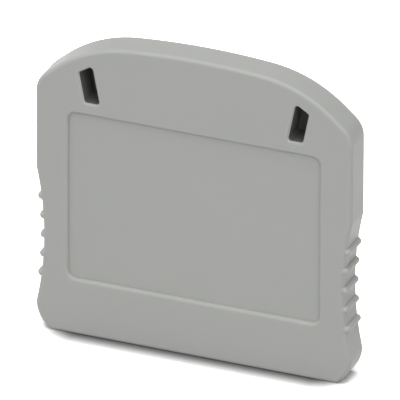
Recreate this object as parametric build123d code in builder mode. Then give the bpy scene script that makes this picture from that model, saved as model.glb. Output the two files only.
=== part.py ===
"""End cover for a small terminal block: one thin moulded plastic plate.

The plate stands on its flat foot. Its front face looks towards -Y and its back face towards +Y.
The origin is the middle of the foot, X runs across the plate and Z runs up. Sizes are millimetres.
"""

import os
from math import asin, degrees, radians, sqrt, tan

from build123d import *

# Whole plate
width = 22.06
height = 21.51
thickness = 2.2

# Crown and shoulders: a shallow arc, then a tighter arc and a short slope down to each side
crown_radius = 51.7
shoulder_span = 6.34
shoulder_radius = 8.94
shoulder_slope = 41.1
shoulder_corner_radius = 1.65

# Waist: a shallow arc drawn into each side, above the foot
foot_height = 1.9
waist_length = 9.8
waist_depth = 0.53
waist_edge_radius = 1.0

# Grip ribs: round beads across the thickness, centred on the waist, that stop short of the back face
rib_count = 5
rib_pitch = 1.4
rib_height = 0.255
rib_radius = 0.27
rib_back_margin = 0.12

# Foot corners: curved chamfers from the widest part of the foot to its flat underside
foot_corner_reach = 1.0
foot_corner_bulge = 0.265
foot_edge_radius = 0.4

# Rims of the two large faces: the front one is rounded, the back one is bevelled
front_round = 0.25
back_bevel = 0.09

# Slots: two blind pockets below the shoulders, leaning outwards towards the top (angles in degrees)
slot_side_margin = 3.44
slot_crown_margin = 1.83
slot_width = 1.04
slot_height = 2.7
slot_lean = 11.1
slot_top_fall = 28.7
slot_corner_radius = 0.2
slot_bevel = 0.1
slot_floor = 0.4

# Recess: a shallow rounded rectangle sunk in the front face, below the slots
recess_side_margin = 2.25
recess_foot_margin = 4.05
recess_slot_margin = 0.9
recess_corner_radius = 0.58
recess_mouth_round = 0.24
recess_depth = 0.26

half_width = width / 2
waist_top = foot_height + waist_length
waist_middle = foot_height + waist_length / 2
slot_bottom = height - slot_crown_margin - slot_height
recess_top = slot_bottom - recess_slot_margin
front_plane = Plane.XZ.offset(thickness / 2)
back_plane = Plane.XZ.offset(-thickness / 2)


def corners_at(sketch, level):
    """The corners of an upright sketch that lie at one level."""
    snap = 0.001
    return sketch.vertices().filter_by_position(Axis.Y, level - snap, level + snap)


def rib_centres():
    """Centres of the rib circles, which follow the arc of the waist on both sides."""
    waist_radius = (waist_length**2 / 4 + waist_depth**2) / (2 * waist_depth)
    arc_centre = half_width - waist_depth + waist_radius
    centres = []
    for index in range(rib_count):
        rise = (index - (rib_count - 1) / 2) * rib_pitch
        wall = arc_centre - sqrt(waist_radius**2 - rise**2)
        reach = wall + rib_height - rib_radius
        centres += [(reach, waist_middle + rise), (-reach, waist_middle + rise)]
    return centres


def slot_corners():
    """Corners of the right slot, from its inner foot corner round to its outer foot corner."""
    outer_foot = half_width - slot_side_margin
    inner_foot = outer_foot - slot_width
    lean = tan(radians(slot_lean))
    outer_height = slot_height - slot_width * tan(radians(slot_top_fall))
    return [
        (inner_foot, slot_bottom),
        (inner_foot + slot_height * lean, slot_bottom + slot_height),
        (outer_foot + outer_height * lean, slot_bottom + outer_height),
        (outer_foot, slot_bottom),
    ]


with BuildPart() as end_cover:
    # Plate outline without its ribs, drawn as its right half and mirrored
    with BuildSketch(back_plane) as outline:
        with BuildLine():
            crown_turn = degrees(asin((half_width - shoulder_span) / crown_radius))
            crown = JernArc((0, height), (1, 0), crown_radius, -crown_turn)
            shoulder = JernArc(crown @ 1, crown % 1, shoulder_radius, crown_turn - shoulder_slope)
            slope_drop = (half_width - (shoulder @ 1).X) * tan(radians(shoulder_slope))
            side_top = (shoulder @ 1).Y - slope_drop
            slope = Line(shoulder @ 1, (half_width, side_top))
            side = Line(slope @ 1, (half_width, waist_top))
            waist_point = (half_width - waist_depth, waist_middle)
            waist = ThreePointArc(side @ 1, waist_point, (half_width, foot_height))
            foot_end = (half_width - foot_corner_reach, 0)
            foot_corner = SagittaArc(waist @ 1, foot_end, foot_corner_bulge)
            Line(foot_corner @ 1, (0, 0))
            mirror(about=Plane.YZ)
        make_face()
        fillet(corners_at(outline, side_top), radius=shoulder_corner_radius)
        fillet(corners_at(outline, waist_top), radius=waist_edge_radius)
        fillet(corners_at(outline, foot_height), radius=waist_edge_radius)
        foot_line = corners_at(outline, 0).sort_by(Axis.X)
        fillet([foot_line[0], foot_line[-1]], radius=foot_edge_radius)
    extrude(amount=thickness)
    back_face = end_cover.faces().sort_by(Axis.Y)[-1]
    chamfer(back_face.outer_wire().edges(), length=back_bevel)

    # Ribs, from the front face to just before the bevelled back rim
    with BuildSketch(front_plane):
        with Locations(*rib_centres()):
            Circle(rib_radius)
    extrude(amount=rib_back_margin - thickness)

    # Rounded front rim; it stays smaller than the rib tips that it runs round
    front_face = end_cover.faces().sort_by(Axis.Y)[0]
    fillet(front_face.outer_wire().edges(), radius=min(front_round, 0.95 * rib_radius))

    # Recess
    recess_width = width - 2 * recess_side_margin
    recess_height = recess_top - recess_foot_margin
    with BuildSketch(front_plane):
        with Locations((0, recess_foot_margin + recess_height / 2)):
            RectangleRounded(recess_width, recess_height, recess_corner_radius)
    extrude(amount=-recess_depth, mode=Mode.SUBTRACT)
    recess_mouth = end_cover.edges(Select.LAST).group_by(Axis.Y)[0]
    fillet(recess_mouth, radius=min(recess_mouth_round, 0.95 * recess_depth))

    # Slots
    with BuildSketch(front_plane) as slots:
        with BuildLine():
            Polyline(*slot_corners(), close=True)
        make_face()
        mirror(about=Plane.YZ)
        fillet(slots.vertices(), radius=slot_corner_radius)
    extrude(amount=slot_floor - thickness, mode=Mode.SUBTRACT)
    slot_mouths = end_cover.edges(Select.LAST).group_by(Axis.Y)[0]
    chamfer(slot_mouths, length=slot_bevel)

end_cover.part.label = "end_cover"
os.makedirs("parts", exist_ok=True)
export_step(end_cover.part, "parts/end_cover.step")
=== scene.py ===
"""Looks of the terminal block end cover: its plastic, the pale floor, the light and the camera."""

from math import cos, radians, sin

import bpy
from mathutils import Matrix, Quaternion, Vector

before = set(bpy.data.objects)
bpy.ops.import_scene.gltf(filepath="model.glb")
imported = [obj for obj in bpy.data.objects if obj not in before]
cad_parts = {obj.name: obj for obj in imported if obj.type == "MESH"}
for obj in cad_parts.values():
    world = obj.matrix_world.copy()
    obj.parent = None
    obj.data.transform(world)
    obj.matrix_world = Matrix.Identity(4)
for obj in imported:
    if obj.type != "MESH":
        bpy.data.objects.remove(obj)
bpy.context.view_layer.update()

MM = 0.001
WHITE = (1.0, 1.0, 1.0, 1.0)

# Camera: with very little perspective, so it stands far off with a long lens. Distances are in metres,
# and the lens and the width of the sensor in millimetres.
CAMERA_AZIMUTH = radians(21.971)
CAMERA_ELEVATION = radians(27.123)
CAMERA_ROLL = radians(0.206)
CAMERA_DISTANCE = 1.25
CAMERA_FARTHEST = 20.0
CAMERA_AIM = Vector((0.052, 0.0, 10.914)) * MM
CAMERA_LENS = 1738.1
CAMERA_SENSOR = 36.0

# Light: soft square lamps around the cover, as azimuth and elevation in degrees, distance and size
# in metres, and power in watts
SKY_STRENGTH = 0.02
LAMPS = {
    "key": (0.0, 45.0, 1.0, 0.6, 2.0),
    "front_right": (45.0, 30.0, 1.0, 0.6, 3.65),
    "front_left": (-45.0, 30.0, 1.0, 0.6, 1.9),
    "right_fill": (90.0, 12.0, 1.0, 0.6, 0.4),
    "left_fill": (-90.0, 12.0, 1.0, 0.6, 2.2),
    "top": (0.0, 88.0, 1.0, 0.9, 6.7),
}

# Floor: paper that the camera sees as white, with a painted shadow, a dark line where the cover stands on
# it, on top of the shadows the lamps cast. The painted line is the floor's openness raised to a power,
# which is high along the foot and low past its two ends.
FLOOR_SIZE = 6.0
FLOOR_SEEN = 2.2
FLOOR_BOUNCE = 0.57
CONTACT_SHADOW_REACH = 2.0 * MM
CONTACT_SHADOW_DEPTH = 3.85
CORNER_SHADOW_DEPTH = 0.4
CONTACT_SHADOW_DARKEST = 0.5
CONTACT_SHADOW_FADE = 1.2 * MM
FOOT_HALF_LENGTH = 9.6 * MM

# Plastic: light grey with a faint drift of colour and gloss, and a fine moulded grain
PLASTIC_LIGHT = (0.424, 0.429, 0.412, 1.0)
PLASTIC_DARK = (0.410, 0.418, 0.401, 1.0)
PLASTIC_SHEEN = 0.22
PLASTIC_GLOSSY = 0.4
PLASTIC_MATT = 0.5
DRIFT_SIZE = 4.0 * MM
DRIFT_DETAIL = 3.0
GLOSS_SIZE = 1.2 * MM
GLOSS_DETAIL = 2.0
GRAIN_SIZE = 0.09 * MM
GRAIN_DETAIL = 2.0
GRAIN_DEPTH = 0.004 * MM
GRAIN_STRENGTH = 0.5

# Pockets and edges, as painted shade and a painted highlight in the colour: openness times a gain is held
# at 1, so that only pockets get darker. The gain is lower in the slot zone and above it, so the slots get
# the darkest painted shade. Outward edges get a little lighter, as a painted highlight.
PAINTED_SHADE_REACH = 2.0 * MM
PAINTED_SHADE_GAIN = 2.2
PAINTED_SHADE_DEPTH = 3.0
PAINTED_SHADE_DARKEST = 0.3
SLOT_ZONE = 16.6 * MM
ZONE_FADE = 0.3 * MM
SLOT_SHADE_GAIN = 1.35
# Painted highlight on outward edges: how far it reaches and how much lighter it makes the colour
EDGE_HIGHLIGHT_REACH = 0.3 * MM
EDGE_HIGHLIGHT_GAIN = 0.22


def direction(azimuth, elevation):
    """Unit vector from the object to a viewer; azimuth 0 stands in front, at -Y."""
    return Vector((sin(azimuth) * cos(elevation), -cos(azimuth) * cos(elevation), sin(elevation)))


def add_camera():
    data = bpy.data.cameras.new("camera")
    data.sensor_width = CAMERA_SENSOR
    data.lens = CAMERA_LENS
    data.clip_end = CAMERA_FARTHEST
    camera = bpy.data.objects.new("camera", data)
    towards = direction(CAMERA_AZIMUTH, CAMERA_ELEVATION)
    camera.location = CAMERA_AIM + towards * CAMERA_DISTANCE
    level = (-towards).to_track_quat("-Z", "Y")
    camera.rotation_euler = (level @ Quaternion((0.0, 0.0, 1.0), CAMERA_ROLL)).to_euler()
    bpy.context.scene.collection.objects.link(camera)
    bpy.context.scene.camera = camera


def add_lamp(name, azimuth, elevation, distance, size, power):
    data = bpy.data.lights.new(name, "AREA")
    data.shape = "SQUARE"
    data.size = size
    data.energy = power
    towards = direction(radians(azimuth), radians(elevation))
    lamp = bpy.data.objects.new(name, data)
    lamp.location = towards * distance
    lamp.rotation_euler = (-towards).to_track_quat("-Z", "Y").to_euler()
    lamp.visible_camera = False
    bpy.context.scene.collection.objects.link(lamp)


def add_math(tree, operation, first, second):
    """A math node whose inputs are sockets or numbers; returns its output."""
    node = tree.nodes.new("ShaderNodeMath")
    node.operation = operation
    for socket, value in zip(node.inputs, (first, second)):
        if isinstance(value, bpy.types.NodeSocket):
            tree.links.new(value, socket)
        else:
            socket.default_value = value
    return node.outputs[0]


def add_noise(tree, feature_size, detail):
    """Noise fixed to the object, with blobs of about one feature size."""
    place = tree.nodes.new("ShaderNodeTexCoord")
    noise = tree.nodes.new("ShaderNodeTexNoise")
    noise.inputs["Scale"].default_value = 1 / feature_size
    noise.inputs["Detail"].default_value = detail
    tree.links.new(place.outputs["Object"], noise.inputs["Vector"])
    return noise.outputs["Fac"]


def add_openness(tree, reach, own_walls_only=False, into_solid=False):
    """How open a point lies: 1 on a free face, less beside a wall, or beside an edge if into the solid."""
    node = tree.nodes.new("ShaderNodeAmbientOcclusion")
    node.inputs["Distance"].default_value = reach
    node.only_local = own_walls_only
    node.inside = into_solid
    return node.outputs["AO"]


def add_range(tree, axis, start, end, before, after):
    """A number that goes from one value to another with the distance from the origin along an axis."""
    place = tree.nodes.new("ShaderNodeTexCoord")
    split = tree.nodes.new("ShaderNodeSeparateXYZ")
    tree.links.new(place.outputs["Object"], split.inputs[0])
    blend = tree.nodes.new("ShaderNodeMapRange")
    tree.links.new(add_math(tree, "ABSOLUTE", split.outputs[axis], 0.0), blend.inputs["Value"])
    blend.inputs["From Min"].default_value = start
    blend.inputs["From Max"].default_value = end
    blend.inputs["To Min"].default_value = before
    blend.inputs["To Max"].default_value = after
    return blend.outputs["Result"]


def add_blend(tree, kind, factor, first, second):
    """A colour or number mixed from two values; returns its output."""
    node = tree.nodes.new("ShaderNodeMix")
    node.data_type = kind
    sockets = [socket for socket in node.inputs if socket.enabled]
    tree.links.new(factor, sockets[0])
    sockets[1].default_value = first
    sockets[2].default_value = second
    return [socket for socket in node.outputs if socket.enabled][0]


def is_seen(tree):
    """1 for a ray from the camera, off a mirror or through glass, else 0."""
    path = tree.nodes.new("ShaderNodeLightPath")
    direct = path.outputs["Is Camera Ray"]
    mirrored = add_math(tree, "MAXIMUM", direct, path.outputs["Is Glossy Ray"])
    return add_math(tree, "MAXIMUM", mirrored, path.outputs["Is Transmission Ray"])


def set_world():
    """An even pale sky, which the camera, mirrors and glass see as plain white."""
    world = bpy.data.worlds.new("world")
    bpy.context.scene.world = world
    world.use_nodes = True
    tree = world.node_tree
    tree.nodes.clear()
    sky = tree.nodes.new("ShaderNodeBackground")
    sky.inputs["Strength"].default_value = SKY_STRENGTH
    white = tree.nodes.new("ShaderNodeBackground")
    for shader in (sky, white):
        shader.inputs["Color"].default_value = WHITE
    mix = tree.nodes.new("ShaderNodeMixShader")
    output = tree.nodes.new("ShaderNodeOutputWorld")
    tree.links.new(is_seen(tree), mix.inputs[0])
    tree.links.new(sky.outputs[0], mix.inputs[1])
    tree.links.new(white.outputs[0], mix.inputs[2])
    tree.links.new(mix.outputs[0], output.inputs["Surface"])


def floor_material():
    material = bpy.data.materials.new("pale_floor")
    material.use_nodes = True
    tree = material.node_tree
    tree.nodes.clear()
    bounce = tree.nodes.new("ShaderNodeBsdfDiffuse")
    bounce.inputs["Color"].default_value = (FLOOR_BOUNCE,) * 3 + (1.0,)
    # Painted contact shadow: the floor's openness to a power darkens its seen colour along the foot
    openness = add_math(tree, "MAXIMUM", add_openness(tree, CONTACT_SHADOW_REACH), CONTACT_SHADOW_DARKEST)
    fade_start = FOOT_HALF_LENGTH - CONTACT_SHADOW_FADE
    fade_end = FOOT_HALF_LENGTH + CONTACT_SHADOW_FADE
    depth = add_range(tree, "X", fade_start, fade_end, CONTACT_SHADOW_DEPTH, CORNER_SHADOW_DEPTH)
    painted_contact_shadow = add_math(tree, "POWER", openness, depth)
    seen = tree.nodes.new("ShaderNodeBsdfDiffuse")
    tree.links.new(add_math(tree, "MULTIPLY", painted_contact_shadow, FLOOR_SEEN), seen.inputs["Color"])
    mix = tree.nodes.new("ShaderNodeMixShader")
    output = tree.nodes.new("ShaderNodeOutputMaterial")
    tree.links.new(is_seen(tree), mix.inputs[0])
    tree.links.new(bounce.outputs[0], mix.inputs[1])
    tree.links.new(seen.outputs[0], mix.inputs[2])
    tree.links.new(mix.outputs[0], output.inputs["Surface"])
    return material


def add_floor():
    half = FLOOR_SIZE / 2
    corners = [(-half, -half, 0), (half, -half, 0), (half, half, 0), (-half, half, 0)]
    mesh = bpy.data.meshes.new("floor")
    mesh.from_pydata(corners, [], [(0, 1, 2, 3)])
    floor = bpy.data.objects.new("floor", mesh)
    floor.data.materials.append(floor_material())
    bpy.context.scene.collection.objects.link(floor)


def plastic_material():
    material = bpy.data.materials.new("grey_plastic")
    material.use_nodes = True
    tree = material.node_tree
    shader = tree.nodes["Principled BSDF"]

    # Colour: two near greys in soft patches, with painted shade that darkens the slots and a painted
    # highlight that lightens outward edges a little
    patches = add_noise(tree, DRIFT_SIZE, DRIFT_DETAIL)
    grey = add_blend(tree, "RGBA", patches, PLASTIC_DARK, PLASTIC_LIGHT)
    # Painted shade: openness near the part's own walls darkens pockets, and the slots most of all
    openness = add_openness(tree, PAINTED_SHADE_REACH, own_walls_only=True)
    gain = add_range(tree, "Z", SLOT_ZONE - ZONE_FADE, SLOT_ZONE, PAINTED_SHADE_GAIN, SLOT_SHADE_GAIN)
    openness = add_math(tree, "MINIMUM", add_math(tree, "MULTIPLY", openness, gain), 1.0)
    painted_cavity_shade = add_math(tree, "MAXIMUM", add_math(tree, "POWER", openness, PAINTED_SHADE_DEPTH), PAINTED_SHADE_DARKEST)
    # Painted highlight: openness into the solid makes outward edges a little lighter in the colour
    solidness = add_openness(tree, EDGE_HIGHLIGHT_REACH, own_walls_only=True, into_solid=True)
    edge = add_math(tree, "SUBTRACT", 1.0 + EDGE_HIGHLIGHT_GAIN, add_math(tree, "MULTIPLY", solidness, EDGE_HIGHLIGHT_GAIN))
    shade = tree.nodes.new("ShaderNodeVectorMath")
    shade.operation = "SCALE"
    tree.links.new(grey, shade.inputs[0])
    tree.links.new(add_math(tree, "MULTIPLY", painted_cavity_shade, edge), shade.inputs["Scale"])
    tree.links.new(shade.outputs[0], shader.inputs["Base Color"])

    # Gloss: rougher and smoother in small patches
    patches = add_noise(tree, GLOSS_SIZE, GLOSS_DETAIL)
    gloss = add_blend(tree, "FLOAT", patches, PLASTIC_GLOSSY, PLASTIC_MATT)
    tree.links.new(gloss, shader.inputs["Roughness"])
    shader.inputs["Specular IOR Level"].default_value = PLASTIC_SHEEN

    # Grain: a very fine bump
    bump = tree.nodes.new("ShaderNodeBump")
    bump.inputs["Strength"].default_value = GRAIN_STRENGTH
    bump.inputs["Distance"].default_value = GRAIN_DEPTH
    tree.links.new(add_noise(tree, GRAIN_SIZE, GRAIN_DETAIL), bump.inputs["Height"])
    tree.links.new(bump.outputs[0], shader.inputs["Normal"])
    return material


bpy.context.scene.view_settings.view_transform = "Standard"
add_camera()
set_world()
for name, settings in LAMPS.items():
    add_lamp(name, *settings)
add_floor()
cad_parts["end_cover"].material_slots[0].material = plastic_material()
